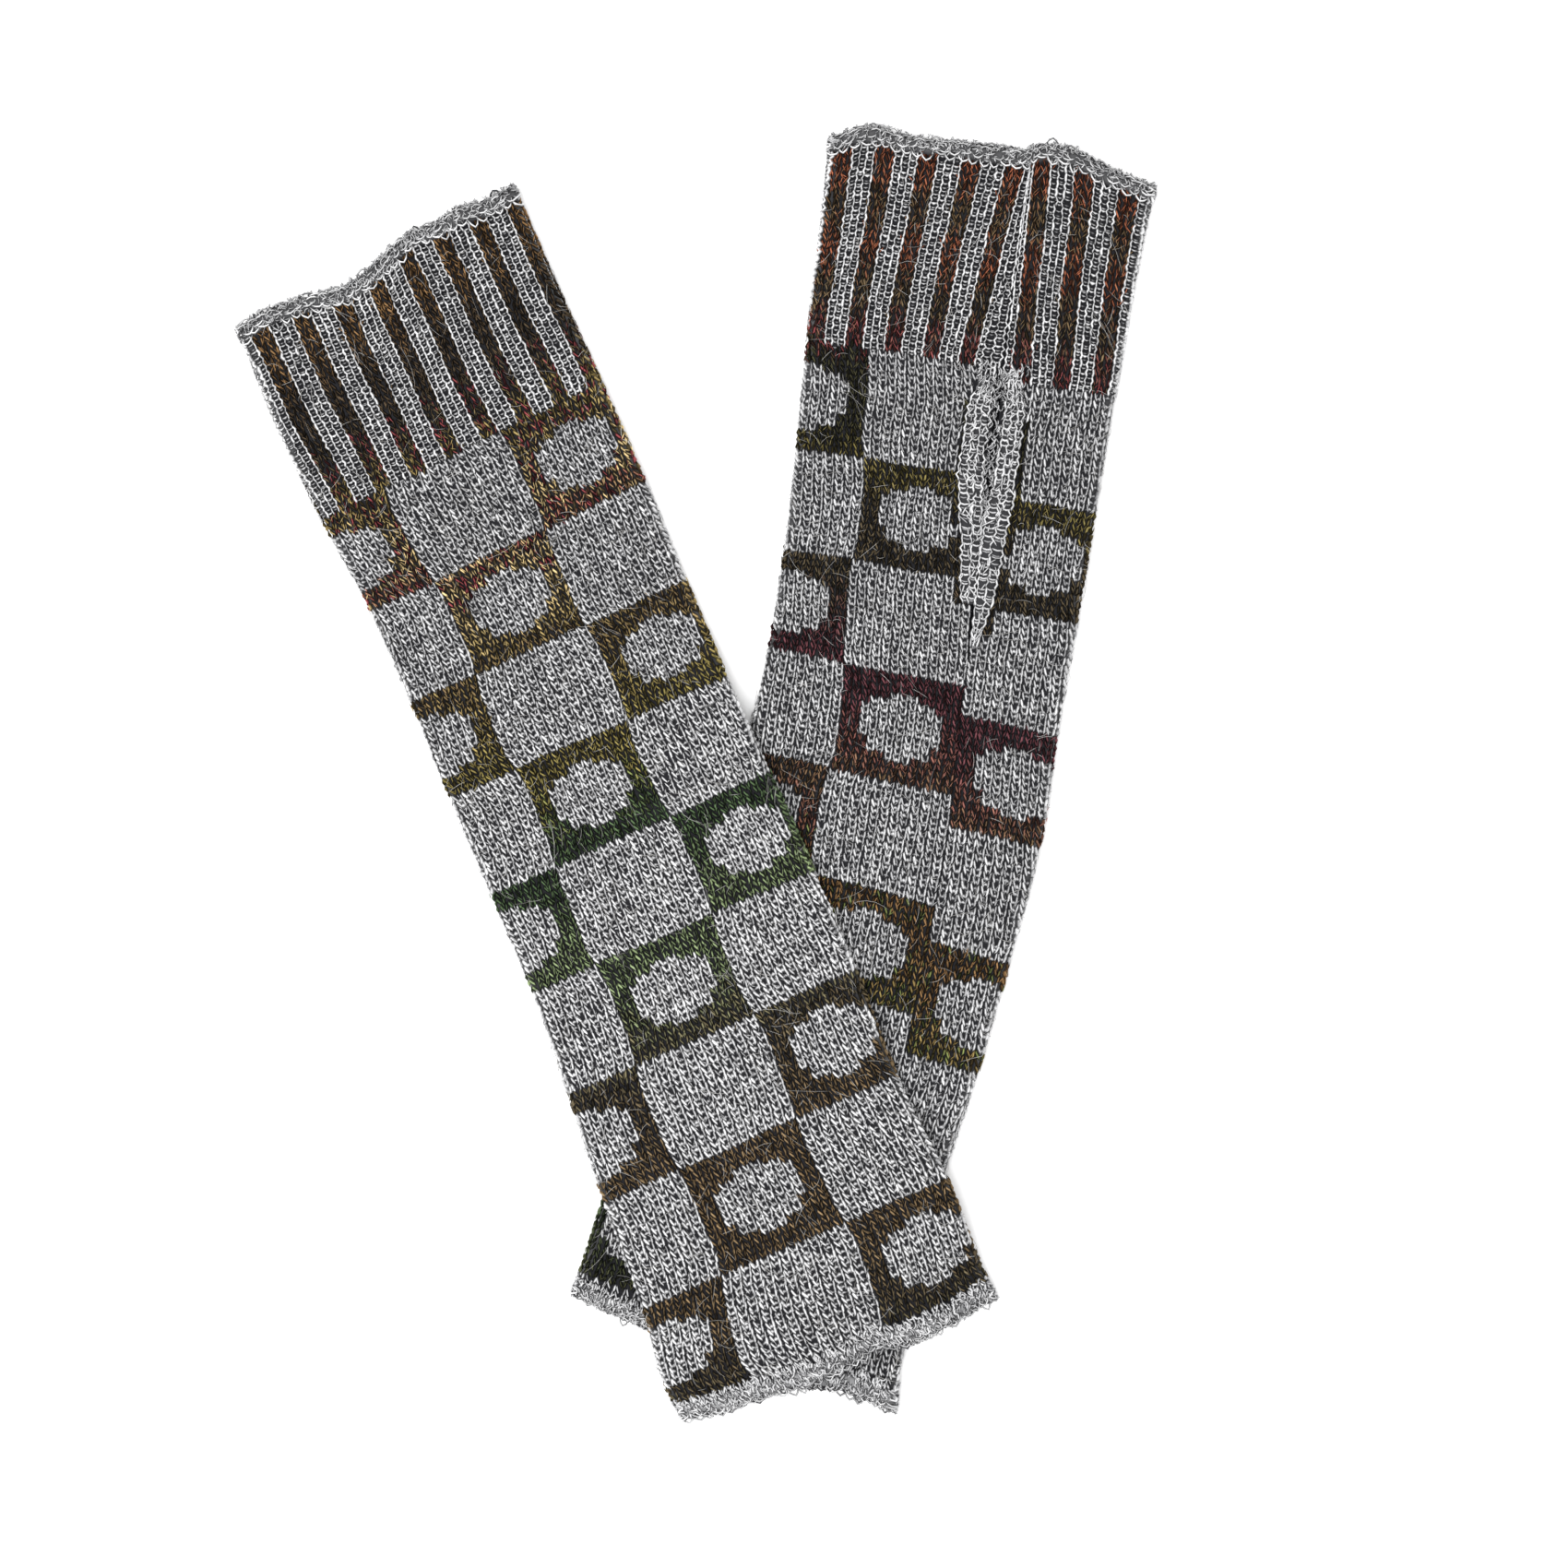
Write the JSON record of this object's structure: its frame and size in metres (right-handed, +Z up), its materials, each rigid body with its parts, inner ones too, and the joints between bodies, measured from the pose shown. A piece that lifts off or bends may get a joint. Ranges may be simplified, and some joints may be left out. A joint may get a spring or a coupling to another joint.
{
  "type": "pair of wrist warmers",
  "caption": "Pair of long knitted wrist warmers with ribbed cuffs, a checker of plain and spotted blocks, rolled hems and a thumb slit, laid flat with one across the other.",
  "frame": {"origin": "on the table under the middle of the pair", "axes": "+Z up from the table, +Y towards the cuffs, +X to the right as the pair is seen from above"},
  "size_m": [0.2398, 0.3372, 0.0107],
  "materials": {
    "edge_yarn": "fuzzy light grey wool",
    "cuff_knit": "fuzzy wool, grey with brown stripes",
    "body_knit": "fuzzy wool, grey with green and brown blocks",
    "border_knit": "fuzzy grey wool"
  },
  "bodies": {
    "root": {"lower_cuff_edge": "edge_yarn", "lower_cuff": "cuff_knit", "lower_body": "body_knit", "lower_slit_border_a": "border_knit", "lower_slit_border_b": "border_knit", "lower_hem": "edge_yarn", "upper_cuff_edge": "edge_yarn", "upper_cuff": "cuff_knit", "upper_body": "body_knit", "upper_hem": "edge_yarn"}
  },
  "joints": []
}
